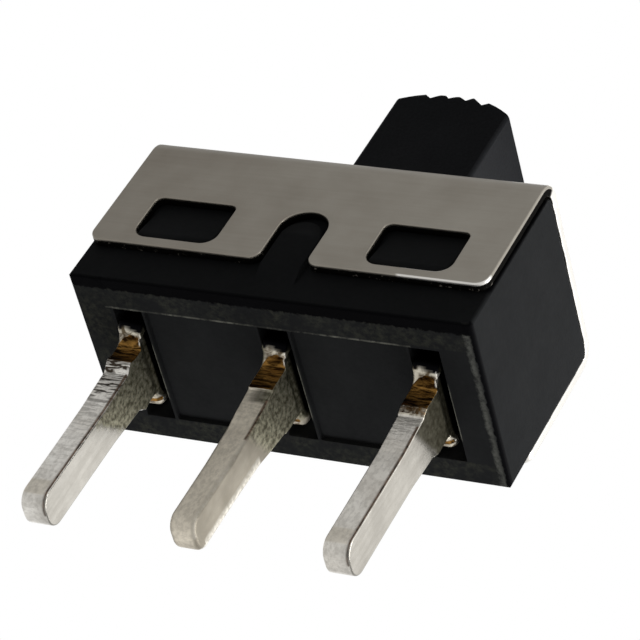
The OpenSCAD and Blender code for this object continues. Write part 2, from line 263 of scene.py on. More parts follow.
def plate(name, loops, profiles, inner, shape, marks):
    """Plate cut from sheet. Each loop's cut edge is a profile carried along the loop: a profile point is
    the loop's point, moved into the material by its inset, at its height in the sheet. The two faces are
    nets between the loops' first and last rings. shape turns (a, b, height) into space, and marks gives
    the point attributes from the same three coordinates and the flat plate's normals."""
    flat, tilt, faces, ring_of_loop = [], [], [], []
    count = 0
    for (points, normals), (inset, height) in zip(loops, profiles):
        n, k = inset.shape
        ring = points[:, None, :] - normals[:, None, :] * inset[:, :, None]
        flat.append(np.concatenate([ring, height[:, :, None]], 2).reshape(-1, 3))
        along = np.stack([-np.gradient(inset, axis=1), np.gradient(height, axis=1)], 2)
        along /= np.maximum(np.linalg.norm(along, axis=2), 1e-12)[:, :, None]
        out, up = -along[:, :, 1], along[:, :, 0].copy()
        out[:, [0, -1]] = 0
        up[:, 0], up[:, -1] = 1, -1
        aside = normals[:, None, :] * out[:, :, None]
        tilt.append(np.concatenate([aside, up[:, :, None]], 2).reshape(-1, 3))
        index = count + np.arange(n * k).reshape(n, k)
        after = np.roll(index, -1, 0)
        quad = np.stack([index[:, :-1], index[:, 1:], after[:, 1:], after[:, :-1]], 2)
        faces += quad.reshape(-1, 4).tolist()
        ring_of_loop.append(index)
        count += n * k
    for end, up in ((0, 1.0), (-1, -1.0)):
        rings = [index[:, end] for index in ring_of_loop]
        stacked = np.vstack(flat)
        triangle = filling([stacked[ring, :2] for ring in rings], inner)
        level = stacked[rings[0][0], 2]
        flat.append(np.column_stack([inner, np.full(len(inner), level)]))
        tilt.append(np.tile([0.0, 0.0, up], (len(inner), 1)))
        index = np.concatenate(rings + [count + np.arange(len(inner))])
        triangle = index[triangle]
        faces += (triangle if up > 0 else triangle[:, ::-1]).tolist()
        count += len(inner)
    flat, tilt = np.vstack(flat), np.vstack(tilt)
    tilt /= np.linalg.norm(tilt, axis=1)[:, None]
    places, normals = carried(shape, flat, tilt)
    return new_object(name, places * MM, faces, normals, marks(flat, tilt))


def lattice(a, b, loops, clear):
    """Grid of points inside the loops and clear of them."""
    grid = np.stack(np.meshgrid(a, b), 2).reshape(-1, 2)
    return grid[inside(grid, loops) & (nearest(grid, loops) > clear)]


def cut_edge(points, thickness, roll, drop, rough, seed):
    """Profile of a punched edge: a quarter ellipse rolled over at the punch side, roll wide and drop deep,
    a bright straight band, then the torn band, which wanders by rough, and a small burr."""
    quarter = np.linspace(0, np.pi / 2, 6)
    inset = np.concatenate([roll * (1 - np.sin(quarter)), [0, 0, 0, 0, 0.012, 0.03]])
    height = np.concatenate([thickness - drop * (1 - np.cos(quarter)),
                             thickness * np.array([0.7, 0.67, 0.35, 0.1, 0.02, 0.0])])
    wander = np.random.default_rng(seed).normal(0, rough, len(points))
    wander = np.convolve(np.tile(wander, 3), np.ones(3) / 3, "same")[len(points):2 * len(points)]
    torn = np.array([0] * 8 + [0.6, 1.0, 0.8, 0.5])
    return inset[None, :] + wander[:, None] * torn[None, :], np.tile(height, (len(points), 1))


# ---- Cover: one blank with four windows, two notches and a slot, folded over the housing ----
def fold(flat):
    """Folds the blank: the middle stays flat, and past FLAT_HALF it turns about an axis BEND_IN under the
    sheet, by a quarter turn over BEND_ARC, then runs straight down. The place is the axis, plus the
    radius at that height times (sin, cos) of the angle, less what is left of the length."""
    side = np.where(flat[:, 1] < 0, -1.0, 1.0)
    past = np.abs(flat[:, 1]) - FLAT_HALF
    angle = ramp(past, 0, BEND_ARC) * np.pi / 2
    radius = BEND_IN + flat[:, 2]
    y = np.minimum(np.abs(flat[:, 1]), FLAT_HALF) + radius * np.sin(angle)
    z = LID_UNDER - BEND_IN + radius * np.cos(angle) - np.maximum(past - BEND_ARC, 0)
    return np.stack([flat[:, 0], side * y, z], 1)


def blank_edge():
    """Outer loop of the blank: two feet, each with its notch, joined by the straight ends."""
    foot = [(-COVER_HALF_X, 0, SKIRT_CORNER), (-NOTCH_HALF, 0, NOTCH_FLARE),
            (-NOTCH_HALF, NOTCH_HIGH, NOTCH_HALF), (NOTCH_HALF, NOTCH_HIGH, NOTCH_HALF),
            (NOTCH_HALF, 0, NOTCH_FLARE), (COVER_HALF_X, 0, SKIRT_CORNER)]
    near = [(x, y - BLANK_HALF, r) for x, y, r in foot]
    return near + [(-x, -y, r) for x, y, r in near]


def window_edge(x, side):
    """Loop of one window, clockwise; side is -1 in the near skirt and 1 in the far one."""
    low_s = BLANK_HALF + SKIRT_FOOT - WINDOW_LOW
    high_s = BLANK_HALF + SKIRT_FOOT - WINDOW_HIGH
    box = [(-WINDOW_HALF, -low_s, WINDOW_FOOT_R), (-WINDOW_HALF, -high_s, WINDOW_TOP_R),
           (WINDOW_HALF, -high_s, WINDOW_TOP_R), (WINDOW_HALF, -low_s, WINDOW_FOOT_R)]
    return [(x - side * a, -side * b, r) for a, b, r in box]


def cover():
    """The folded cover, cut from its blank along six loops: the blank's edge, four windows and the slot."""
    loops = [outline(blank_edge(), step=0.1)]
    loops += [outline(window_edge(x, side), step=0.08) for x in (-WINDOW_X, WINDOW_X) for side in (-1, 1)]
    slot = [(-SLOT_HALF_X, -SLOT_HALF_Y, SLOT_R), (-SLOT_HALF_X, SLOT_HALF_Y, SLOT_R),
            (SLOT_HALF_X, SLOT_HALF_Y, SLOT_R), (SLOT_HALF_X, -SLOT_HALF_Y, SLOT_R)]
    loops.append(outline(slot, step=0.15))
    profiles = [cut_edge(points, SHEET, roll=0.05, drop=0.07, rough=0.008, seed=seed)
                for seed, (points, _) in enumerate(loops)]
    bend = np.linspace(FLAT_HALF, FLAT_HALF + BEND_ARC, 11)
    skirt = np.linspace(FLAT_HALF + BEND_ARC, BLANK_HALF, 16)[1:-1]
    lid = np.linspace(-FLAT_HALF, FLAT_HALF, 16)[1:-1]
    rows = np.concatenate([-skirt[::-1], -bend[::-1], lid, bend, skirt])
    columns = np.linspace(-COVER_HALF_X, COVER_HALF_X, 44)[1:-1]
    inner = lattice(columns, rows, [points for points, _ in loops], clear=0.16)
    return plate("folded_cover", loops, profiles, inner, fold, cover_marks)


def cover_marks(flat, tilt):
    """cut is 1 on a sheared wall below most of the sheet, where the wall is painted black as shade, and 0
    on the sheet's own faces, torn is 1 on the feet's walls, and bright is a painted highlight on the rolled
    edges and walls at the ends of the lid and of the far skirt, and on the rolled edge of the near foot at
    one end."""
    x, y, share = flat[:, 0], flat[:, 1], flat[:, 2] / SHEET
    level = np.hypot(tilt[:, 0], tilt[:, 1])
    cut = (level > 0.5) * ramp(share, 0.7, 0.67)
    corner = np.where(y > BLANK_HALF - 0.7, 0.7, 0.06)
    end = (np.abs(x) > COVER_HALF_X - corner) & (y > -FLAT_HALF - 0.3)
    foot = np.abs(y) > BLANK_HALF - 0.45
    # Rolled edges that get a painted highlight
    highlit_edge = end | (foot & (x > 3.6) & (y < 0))
    return {"cut": cut * ~end, "torn": 1.0 * foot, "bright": ramp(level, 0, 0.5) * highlit_edge}


# ---- Terminals: stamped plates across the body, with a softened edge ----
def terminal_edge(top, half, lug, neck, root):
    """Right half of the stamped outline and its mirror image, anticlockwise seen from +X. The lugs' foot is
    at height lug. neck and root are the half width and height where the ledge starts and where it ends."""
    right = [(BLADE_HALF, TIP_Z, TIP_R), (BLADE_HALF, WAIST_Z, WAIST_R), (*root, LEDGE_R),
             (*neck, LEDGE_R), (NECK_HALF, neck[1] + NECK_RISE, NECK_R), (NECK_HALF, lug, LUG_FILLET),
             (HEAD_HALF, lug, LUG_R), (HEAD_HALF, SHOULDER, CORNER_R), (SHANK_HALF, SHOULDER, CORNER_R)]
    if half < SHANK_HALF:
        right += [(SHANK_HALF, STEP_Z, CORNER_R), (half, STEP_Z, 0.02)]
    right.append((half, top, 0.1))
    return right + [(-y, z, r) for y, z, r in reversed(right)]


def soft_edge(front, back):
    """Profile of a stamped edge, rounded by a quarter circle at both faces: inset = radius (1 - sin) and
    depth under the face = radius (1 - cos). front and back give the two radii for each point."""
    quarter = np.linspace(0, np.pi / 2, 7)
    front, back = front[:, None], back[:, None]
    wall = np.array([0.05, 0.1, 0.5, 0.9])
    upper, lower = BLADE_T - front * (1 - np.cos(quarter)), (back * (1 - np.cos(quarter)))[:, ::-1]
    middle = upper[:, -1:] * (1 - wall) + lower[:, :1] * wall
    back_inset = (back * (1 - np.sin(quarter)))[:, ::-1]
    inset = np.hstack([front * (1 - np.sin(quarter)), 0 * middle, back_inset])
    return inset, np.hstack([upper, middle, lower])


def terminal(name, x, top, half, crown_r, lug, neck, root, brown, edge, chatter, matt, dull, shade):
    """One terminal at x. Its blade's edges are rounded by edge and its top to crown_r, and two of the lugs'
    corners are rounded off. Bare brass shows beside the lugs down to height brown. chatter is how strong
    the marks on the sheared walls are, matt is (height, slope, depth) of the line below which the face is
    clean, dull how satin the clean face is and shade how dark the matt face is."""
    points, normals = outline(terminal_edge(top, half, lug, neck, root), step=0.06)
    blade = STAMPED_R + (edge - STAMPED_R) * ramp(points[:, 1], -2.2, -4.2)
    lugs = ramp(np.abs(points[:, 0]), NECK_HALF, NECK_HALF + 0.3) * ramp(points[:, 1], 0.9, 0.5)
    lugs *= points[:, 1] > neck[1] + NECK_RISE
    far_lug, near_lug = lugs * (points[:, 0] > 0), lugs * (points[:, 0] < 0)
    profile = soft_edge(blade + (0.24 - blade) * far_lug, blade + (0.22 - blade) * near_lug)
    rows = np.linspace(TIP_Z + 0.1, top - 0.1, 100)
    inner = lattice(np.linspace(-1.5, 1.5, 25), rows, [points], clear=0.24)

    def stand(flat):
        """Stands the plate across the body, sinks the head's face by HEAD_SUNK between the lugs, skews the
        near lug's end, tapers the plate towards crown_r below the crown and rounds the crown: with u and v
        the distances from the crown's centre over its radius, a point of the square goes to
        (u sqrt(1 - v v / 2), v sqrt(1 - u u / 2)) on the disc."""
        y, z, share = flat[:, 0], flat[:, 1], flat[:, 2] / BLADE_T
        sunk = ramp(z, -0.42, -0.22) * ramp(z, 1.3, 1.1) * ramp(np.abs(y), 1.2, 1.08)
        height = flat[:, 2] - HEAD_SUNK * sunk * share - HALF_T
        y = y + 0.1 * ramp(y, -1.0, -1.4) * ramp(z, 0.7, 0.3) * share
        crown_foot = top - crown_r
        taper = ramp(z, crown_foot - TAPER, crown_foot)
        across = height * (1 - (1 - crown_r / HALF_T) * taper)
        u = np.clip(across / crown_r, -1, 1)
        v = np.maximum(z - crown_foot, 0) / crown_r
        raised = np.minimum(z, crown_foot) + crown_r * v * np.sqrt(1 - u * u / 2)
        return np.stack([x + across * np.sqrt(1 - v * v / 2), y, raised], 1)

    def marks(flat, tilt):
        """sheared is 1 on the cut walls, tarnish on the head's walls, whose blotches are painted
        reflection, bare on those beside the lugs, darkening low down there, chatter on the blade's root,
        matt on the head's faces and as painted shade on a satin blade's wall under the ledge, deep as
        painted shade inside the pocket, arris as a painted dark line along the blade's near edge, rim as a
        painted grey reflection along its far one, dull on a satin blade and on a coined tip, and bead as
        painted highlights at the end of the near lug and on a satin blade's edges."""
        y, z, share = flat[:, 0], flat[:, 1], flat[:, 2] / BLADE_T
        level = np.hypot(tilt[:, 0], tilt[:, 1])
        off_edge = np.abs(level - 0.6)
        wall = ramp(level, 0.2 + 0.6 * dull, 0.4 + 0.6 * dull)
        head = z > neck[1]

        # Bare brass, which reaches a little further out at mid thickness on the near wall
        arch = np.interp(share, [0, 0.2, 0.5, 0.8, 1], [0.9, 1.06, 1.32, 1.3, 1.14])
        reach = np.where(y < 0, arch, 1.34)
        above = np.maximum(ramp(z, brown - 0.03, brown), 0.5 * (z > neck[1] + 0.02))
        bare = ramp(np.abs(y), reach, reach - 0.08) * above * np.where(y < 0, 1.0, 0.75 * ramp(y, 1.1, 1.2))
        low_down = ramp(z, brown + 0.45, brown + 0.05) * ramp(share, 1.3, 0.3)

        # Chatter that grows towards the blade's root, the matt face above its slanting line, and painted
        # shade on a satin blade's wall under the ledge
        root = np.interp(z, [-6.2, -4.5, -2.7, -2.1], [0.05, 0.16, 0.35, 1.0]) * (z < brown)
        line = matt[0] + matt[1] * y
        face = (1 - wall) * ramp(z, line, line + matt[2]) * ramp(y, 1.25, 1.17)
        ledge_shade = dull * wall * ramp(z, -1.8, -1.7) * ramp(share, 0.35, 0.55) * ~head

        # Painted shade inside the pocket, which starts lower on the near lug
        lug_shade_from = lug + 0.05 + np.interp(share, [0, 0.3, 0.8, 1], [-0.36, 0, -0.08, -0.2])
        shade_from = np.where(y > 1.15, 0.12, np.where(y < -1.4, lug_shade_from, -0.04))
        deep = ramp(z, shade_from, shade_from + 0.08)

        # Painted shade as a dark line along the near edge, a painted grey reflection along the far one and
        # round the tip, and the tip's coined flat
        arris = ramp(level, 0.6, 0.9) * ramp(share, 0.86, 0.91) * (y < 0) * (z < neck[1] - 0.3)
        arris *= (z > -3.1) | (dull < 0.9)
        rim = ramp(off_edge, 0.48, 0.18) * (share > 0.6) * ((y > 0.1) | (z < -6.3)) * (z < -2.0)
        coin = wall * ramp(z, -5.75, -5.8) * ramp(z, -6.35, -6.3) * (y < 0) * ramp(share, 0.88, 0.84)

        # Painted highlights on the edges of a satin blade and at the end of the near lug
        satin = (dull > 0.9) * (z < WAIST_Z) * (share > 0.6)
        far = satin * (y > 0.43) * (level < 0.9)
        near = satin * (y < 0) * (z < -3.1) * ramp(off_edge, 0.375, 0.125)
        lug_end = ramp(share, 0.93, 0.96) * ramp(y, -0.9, -0.95) * (z > -0.56) * (z < -0.26)
        return {"sheared": wall, "bare": wall * bare, "burnt": np.where(wall > 0.5, low_down, shade),
                "chatter": wall * root * chatter, "matt": np.maximum(face, ledge_shade), "deep": deep,
                "arris": arris, "rim": rim * (dull < 0.5), "dull": np.maximum(dull, 0.7 * coin),
                "tarnish": wall * head, "bead": np.maximum(lug_end, np.maximum(far, 0.2 * near))}

    return plate(name, [(points, normals)], [profile], inner, stand, marks)


def softened_copy(name, node, width, chosen):
    """Copy of a CAD solid with its doubles merged and its sharp edges rounded, where chosen(point) holds
    at both ends."""
    work = bmesh.new()
    work.from_mesh(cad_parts[node].data)
    bmesh.ops.remove_doubles(work, verts=work.verts, dist=1e-7)
    weight = work.edges.layers.float.new("bevel_weight_edge")
    for edge in work.edges:
        if edge.calc_face_angle(0) > SHARP_EDGE and all(chosen(end.co / MM) for end in edge.verts):
            edge[weight] = 1.0
    mesh = bpy.data.meshes.new(name)
    work.to_mesh(mesh)
    work.free()
    mesh.polygons.foreach_set("use_smooth", np.ones(len(mesh.polygons), bool))
    piece = bpy.data.objects.new(name, mesh)
    bpy.context.scene.collection.objects.link(piece)
    bevel = piece.modifiers.new("edges", "BEVEL")
    bevel.width = width * MM
    bevel.segments = 2
    bevel.limit_method = "WEIGHT"
    flatten = piece.modifiers.new("flats", "WEIGHTED_NORMAL")
    flatten.mode = "FACE_AREA"
    flatten.weight = 80
    return piece


def coil(name, x, low_z, high_z, radius, wire, turns):
    """Round wire carried along a helix: the centre line is (r cos t, r sin t, rising evenly with t), and a
    ring of points goes round it in the plane through the axis; the last ring at each end closes it."""
    rings, sides = turns * 40 + 1, 14
    t = np.linspace(0, turns * 2 * np.pi, rings)[:, None]
    rise = np.linspace(low_z + wire, high_z - wire, rings)[:, None]
    a = np.linspace(0, 2 * np.pi, sides, endpoint=False)[None, :]
    out = np.broadcast_to(np.cos(a), (rings, sides))
    up = np.broadcast_to(np.sin(a), (rings, sides))
    reach = radius + wire * out
    places = np.stack([x + reach * np.cos(t), reach * np.sin(t), rise + wire * up], 2)
    normals = np.stack([out * np.cos(t), out * np.sin(t), up], 2)
    index = np.arange(rings * sides).reshape(rings, sides)
    after = np.roll(index, -1, 1)
    quad = np.stack([index[:-1], index[1:], after[1:], after[:-1]], 2).reshape(-1, 4).tolist()
    ends = [index[0].tolist(), index[-1, ::-1].tolist()]
    return new_object(name, places.reshape(-1, 3) * MM, quad + ends, normals.reshape(-1, 3))


# ---------------------------------------------------------------------------------------------------
# Materials
# ---------------------------------------------------------------------------------------------------
MATT_SPECULAR = 0.012
# Patterns are counted in features to the millimetre. Grain, grit and pits are finer on the real finishes
# and are drawn at 0.05 to 0.2 mm, as coarse as they need to be to show at this size.


def srgb(code):
    """Linear colour of an sRGB hex code."""
    value = np.array([int(code[i:i + 2], 16) for i in (0, 2, 4)]) / 255
    linear = np.where(value <= 0.04045, value / 12.92, ((value + 0.055) / 1.055) ** 2.4)
    return (*linear, 1.0)


def add_node(tree, kind, inputs=(), **settings):
    """Adds a node of that kind with its settings, and gives its outputs. inputs, in the order of the
    node's sockets or by their names or numbers, are links, values or the hex codes of colours."""
    node = tree.nodes.new("ShaderNode" + kind)
    for label, value in settings.items():
        setattr(node, label, value)
    for key, value in inputs.items() if isinstance(inputs, dict) else enumerate(inputs):
        if isinstance(value, bpy.types.NodeSocket):
            tree.links.new(value, node.inputs[key])
        else:
            node.inputs[key].default_value = srgb(value) if isinstance(value, str) else value
    return node.outputs


def fresh_tree(owner):
    """Empties the node tree of a material or the world, and gives the function that adds a node to it."""
    owner.use_nodes = True
    owner.node_tree.nodes.clear()
    return partial(add_node, owner.node_tree)


def blank_material(name):
    """New material: gives it, the function that adds a node to it, and the object's coordinates."""
    material = bpy.data.materials.new(name)
    add = fresh_tree(material)
    return material, add, add("TexCoord")["Object"]


def marks_of(add, *labels):
    """The piece's own point attributes of those names."""
    return {label: add("Attribute", attribute_name=label)["Fac"] for label in labels}


def chain(add, operation, first, *others):
    """Values joined in turn by an operation of the Math node."""
    for value in others:
        first = add("Math", (first, value), operation=operation)[0]
    return first


def over(add, colour, *layers):
    """Colour with layers over it, each a share and the colour it brings. Sockets 6 and 7 of a Mix node
    are its two colours, and output 2 is their mix."""
    for share, layer in layers:
        colour = add("Mix", {0: share, 6: colour, 7: layer}, data_type="RGBA")[2]
    return colour


def noise(add, place, per_mm, detail=3.0, rough=0.5, turn=0.0, wavy=0.0):
    """Noise with per_mm features to the millimetre, along X, Y and Z, turned about Y."""
    turned = add("Mapping", {"Vector": place, "Rotation": (0, turn, 0), "Scale": [k / MM for k in per_mm]})
    return add("TexNoise", {"Vector": turned[0], "Scale": 1.0, "Detail": detail, "Roughness": rough,
                            "Distortion": wavy})[0]


def band(add, value, start, end, soft=0.04):
    """1 where value lies from start to end, in millimetres, fading over soft."""
    away = chain(add, "SUBTRACT", value, (start + end) / 2 * MM)
    away = add("Math", (away,), operation="ABSOLUTE")[0]
    half = (end - start) / 2
    return add("MapRange", (away, (half + soft) * MM, half * MM))[0]


def finish(add, colour, rough, metal, relief, strength, distance):
    """Principled shader with a bump, distance millimetres high, as the material's output. metal is 0 to 1
    or a link, and what is not metal keeps a low specular level, as a fine matt grain does."""
    bump = add("Bump", {"Strength": strength, "Distance": distance * MM, "Height": relief})[0]
    look = {"Base Color": colour, "Metallic": metal, "Roughness": rough, "Normal": bump}
    if metal != 1.0:
        look["Specular IOR Level"] = MATT_SPECULAR
    add("OutputMaterial", add("BsdfPrincipled", look))


def nickel_sheet():
    """Cold-rolled steel sheet, dull nickel plate: faint streaks along the rolling, a cloudy sheen that is
    paler towards +X, and rough cut edges that are painted near black as shade, with torn pale specks along
    the feet where the black is left off. The rolled edges at the ends are painted near white as highlights."""
    material, add, place = blank_material("dull_nickel_sheet")
    mark = marks_of(add, "cut", "torn", "bright")
    # Streaks 3 mm long and 0.1 mm wide, clouds of 1.3 mm, pits of 0.05 mm and torn flecks of 0.15 mm
    streak = noise(add, place, (0.35, 9, 9), rough=0.6)
    cloud = noise(add, place, (0.75, 0.75, 0.75), 4.0)
    pit = noise(add, place, (22, 22, 22), 2.0)
    fleck = noise(add, place, (7, 7, 7), rough=0.7)

    length = add("SeparateXYZ", (place,))["X"]
    paler = add("MapRange", (length, -6 * MM, 6 * MM, -0.3, 0.1))[0]
    paler = add("Math", (cloud, 0.95, paler), operation="MULTIPLY_ADD")[0]
    paler = add("Math", (streak, 0.3, paler), operation="MULTIPLY_ADD")[0]
    ragged = chain(add, "MULTIPLY", add("MapRange", (fleck, 0.6, 0.7))[0], mark["torn"])
    # Painted shade: the cut walls are near black, but for torn pale specks on the feet
    cut_wall = over(add, "12110f", (ragged, "a09a90"))
    # bright paints near white highlights on the rolled edges at the ends
    colour = over(add, "857e73", (paler, "a6a197"), (mark["bright"], "efece6"), (mark["cut"], cut_wall))

    sheen = add("MapRange", (cloud, 0.3, 0.7, 0.34, 0.42))[0]
    rough = chain(add, "MAXIMUM", sheen, chain(add, "MULTIPLY", mark["cut"], 0.65))
    # Where the cut walls are painted black they are not metal either
    black = chain(add, "MULTIPLY", mark["cut"], chain(add, "SUBTRACT", 1.0, ragged))
    relief = add("Math", (streak, 0.3, pit), operation="MULTIPLY_ADD")[0]
    finish(add, colour, rough, chain(add, "SUBTRACT", 1.0, black), relief, strength=0.1, distance=0.02)
    return material


def silver_plate():
    """Brass stamping, silver-plated in the reel: bright faces with fine lines along the strip, sheared
    walls with chatter marks across them, brown bare brass beside the lugs, dull mottled faces on the
    head, and painted light and shade: near black in the pocket, a dark line along the near edge, a grey
    line along the far edge, pale highlights at the near lug's end and on a satin blade's edges, and dark
    and pale blotches on the head's walls in place of their reflections."""
    material, add, place = blank_material("silver_plated_brass")
    mark = marks_of(add, "sheared", "bare", "burnt", "chatter", "matt", "deep", "arris", "rim", "dull",
                    "tarnish", "bead")
    # Lines 2 mm long and 0.17 mm apart, clouds of 0.8 mm and flecks of 0.15 mm
    grain = noise(add, place, (6, 6, 0.5))
    cloud = noise(add, place, (1.3, 1.3, 1.3))
    fleck = noise(add, place, (7, 7, 7), rough=0.6)
    patch = add("MapRange", (cloud, 0.35, 0.65))[0]
    spot = add("MapRange", (fleck, 0.36, 0.64))[0]
    # Chatter marks and ripples 0.1 mm apart across the wall, stains of 0.3 mm and grit of 0.15 mm
    streak = add("MapRange", (noise(add, place, (1.5, 1.5, 9), turn=0.4, wavy=0.8), 0.42, 0.55))[0]
    ripple = add("MapRange", (noise(add, place, (3, 3, 13), turn=0.25, wavy=0.5), 0.38, 0.62))[0]
    blotch = add("MapRange", (noise(add, place, (3.2, 3.2, 3.2), wavy=0.8), 0.42, 0.58))[0]
    grit = add("MapRange", (noise(add, place, (8, 8, 5), rough=0.7), 0.42, 0.62))[0]
    line = chain(add, "MULTIPLY", add("MapRange", (grain, 0.38, 0.62))[0], 0.2)

    # What the blade shows where it is clean, from the rolled faces to the head's walls, whose dark and pale
    # blotches are painted reflection
    gritty = add("Math", (grit, 0.1, line), operation="MULTIPLY_ADD")[0]
    satin_face = over(add, "989183", (patch, "aaa395"))
    face = over(add, "c9c5bc", (patch, "d6d2c9"), (mark["dull"], satin_face), (gritty, "8f897e"))
    gritty = chain(add, "MULTIPLY", grit, 0.28)
    satin_wall = over(add, "d1c9b9", (patch, "ded6c6"))
    wall = over(add, "e7e3db", (patch, "fbf8f1"), (mark["dull"], satin_wall), (gritty, "7f796e"))
    blotched_reflection = over(add, "6b5f4c", (blotch, "e6dfce"))
    clean = over(add, face, (mark["sheared"], over(add, wall, (mark["tarnish"], blotched_reflection))))

    # What lies over it
    scored = chain(add, "MULTIPLY", chain(add, "SUBTRACT", 1.0, streak), mark["chatter"])
    # darkening makes the mottle of a matt face darker, and the brown darker low down beside the lugs
    mottled = over(add, "605c4a", (spot, "b6b29c"), (mark["burnt"], "2a271d"))
    bare = add("Math", (fleck, 0.5, mark["bare"]), operation="MULTIPLY_ADD")[0]
    bare = add("MapRange", (bare, 0.62, 0.82))[0]
    dark_brown = over(add, "140a04", (ripple, "3a220c"))
    brown = over(add, "2c1b08", (ripple, "9a733a"), (mark["burnt"], dark_brown))
    # burr is painted shade: the dark line along the blade's near edge
    burr = over(add, "2e241c", (spot, "7c6858"))
    # bright is the share of the painted highlights
    bright = chain(add, "MULTIPLY", mark["bead"], add("MapRange", (fleck, 0.36, 0.6, 0.4, 1.0))[0])
    # deep is painted shade in the pocket, and rim a painted grey reflection along the far edge
    colour = over(add, clean, (scored, "3d362e"), (mark["matt"], mottled), (bare, brown),
                  (mark["arris"], burr), (mark["rim"], "8d8a83"), (mark["deep"], "0b0b0d"),
                  (bright, "f1ede3"))

    sheen = add("MapRange", (cloud, 0.3, 0.7, 0.18, 0.28))[0]
    sheen = add("Math", (mark["sheared"], 0.1, sheen), operation="MULTIPLY_ADD")[0]
    satin = chain(add, "MULTIPLY", chain(add, "MAXIMUM", mark["matt"], mark["dull"]), 0.5)
    satin = chain(add, "MAXIMUM", satin, chain(add, "MULTIPLY", mark["tarnish"], 0.45))
    rough = chain(add, "MAXIMUM", sheen, satin)
    pitted = chain(add, "MULTIPLY", fleck, add("MapRange", (mark["matt"], 0, 1, 0.25, 1))[0])
    fine = add("Math", (grain, 0.4, pitted), operation="MULTIPLY_ADD")[0]
    marked = chain(add, "MULTIPLY", streak, mark["chatter"])
    marked = add("Math", (ripple, bare, marked), operation="MULTIPLY_ADD")[0]
    relief = add("Math", (marked, 3.0, fine), operation="MULTIPLY_ADD")[0]
    finish(add, colour, rough, 1.0, relief, strength=0.3, distance=0.02)
    return material


def black_nylon():
    """Glass-filled nylon, moulded: satin black with a fine grain. On the pin side its margins are scuffed,
    pale and rough, and a stripe near the +X end is scraped and pale, partly as a painted highlight. Pale
    lines along the panels and the pockets are painted highlights, and dark strips along the pin side's near
    edge and +X end and beside the near corner are painted shade."""
    material, add, place = blank_material("glass_filled_nylon")
    axis = add("SeparateXYZ", (place,))
    # Grain of 0.1 mm, cloudy patches of 1.2 mm and specks of 0.2 mm
    grain = noise(add, place, (9, 9, 9), rough=0.6)
    patch = noise(add, place, (0.8, 0.8, 0.8), 5.0, 0.6)
    speck = noise(add, place, (5, 5, 5), 4.0, 0.65)
    astray = chain(add, "SUBTRACT", speck, 0.5)
    ragged_x = add("Math", (astray, 0.2 * MM, axis["X"]), operation="MULTIPLY_ADD")[0]
    ragged_y = add("Math", (astray, 0.25 * MM, axis["Y"]), operation="MULTIPLY_ADD")[0]
    beside = add("Math", (axis["X"], PIN_PITCH / 2 * MM, -PIN_PITCH / 2 * MM), operation="WRAP")[0]
    pin_side = add("MapRange", (axis["Z"], 0.1 * MM, 0.02 * MM))[0]
    shallow = add("MapRange", (axis["Z"], 0.3 * MM, 0.2 * MM))[0]

    # Scuffed margins of the pin side
    margin = chain(add, "MAXIMUM", band(add, axis["Y"], -2.62, -2.0), band(add, axis["Y"], 2.2, 3.0),
                   band(add, axis["X"], -6.35, -5.3))
    worn = chain(add, "MULTIPLY", margin, pin_side, add("MapRange", (patch, 0.4, 0.6))[0])
    # A pale scraped stripe near the +X end: wear, and partly a painted highlight of the edge
    stripe = chain(add, "MULTIPLY", band(add, ragged_x, 6.12, 6.18, 0.1), pin_side)

    # Painted highlights: pale lines along the pockets' edges and the near side of the panels
    slot_highlight = chain(add, "MULTIPLY", band(add, beside, 0.46, 0.48, 0.03),
                      band(add, axis["Y"], -0.5, 1.2, 0.25))
    panel_highlight = chain(add, "MULTIPLY", band(add, axis["Y"], -1.94, -1.91, 0.03),
                       band(add, axis["X"], -5.4, 4.3), add("MapRange", (patch, 0.42, 0.55, 0.1, 0.8))[0])
    line = chain(add, "MULTIPLY", chain(add, "MAXIMUM", slot_highlight, panel_highlight), shallow)

    # Painted shade: dark strips along the pin side's near edge and its +X end, and beside the near +X
    # corner
    near = chain(add, "MULTIPLY", band(add, ragged_y, -3.2, -2.62), pin_side)
    edge = chain(add, "MULTIPLY", band(add, ragged_x, 6.28, 6.42, 0.03),
                 add("MapRange", (axis["Z"], 0.2 * MM, 0.12 * MM))[0])
    corner = chain(add, "MULTIPLY", add("MapRange", (axis["Y"], -2.9 * MM, -2.96 * MM))[0],
                   add("MapRange", (axis["X"], 6.1 * MM, 6.2 * MM))[0],
                   add("MapRange", (axis["Z"], 1.3 * MM, 1.5 * MM))[0])
    dark = chain(add, "MAXIMUM", edge, corner, near)

    tone = add("Math", (patch, 0.6, chain(add, "MULTIPLY", speck, 0.4)), operation="MULTIPLY_ADD")[0]
    scuff = chain(add, "MULTIPLY", worn, add("MapRange", (speck, 0.4, 0.65))[0])
    line = chain(add, "MULTIPLY", line, add("MapRange", (speck, 0.3, 0.5))[0])
    scrape_and_highlight = chain(add, "MULTIPLY", stripe, add("MapRange", (speck, 0.25, 0.6))[0])
    # Over the tone: scuffs, pale lines that are painted highlights, a scraped stripe partly a painted
    # highlight, and dark strips that are painted shade
    colour = over(add, "202122", (tone, "353637"), (scuff, "44453e"), (line, "8c8c82"),
                  (scrape_and_highlight, "6a6b66"), (dark, "0c0c0e"))

    rubbed = chain(add, "MAXIMUM", worn, stripe)
    rough = add("Math", (rubbed, 0.18, 0.5), operation="MULTIPLY_ADD")[0]
    coarse = add("Math", (rubbed, 2.5, 0.6), operation="MULTIPLY_ADD")[0]
    relief = chain(add, "MULTIPLY", grain, coarse)
    finish(add, colour, rough, 0.0, relief, strength=0.35, distance=0.02)
    return material


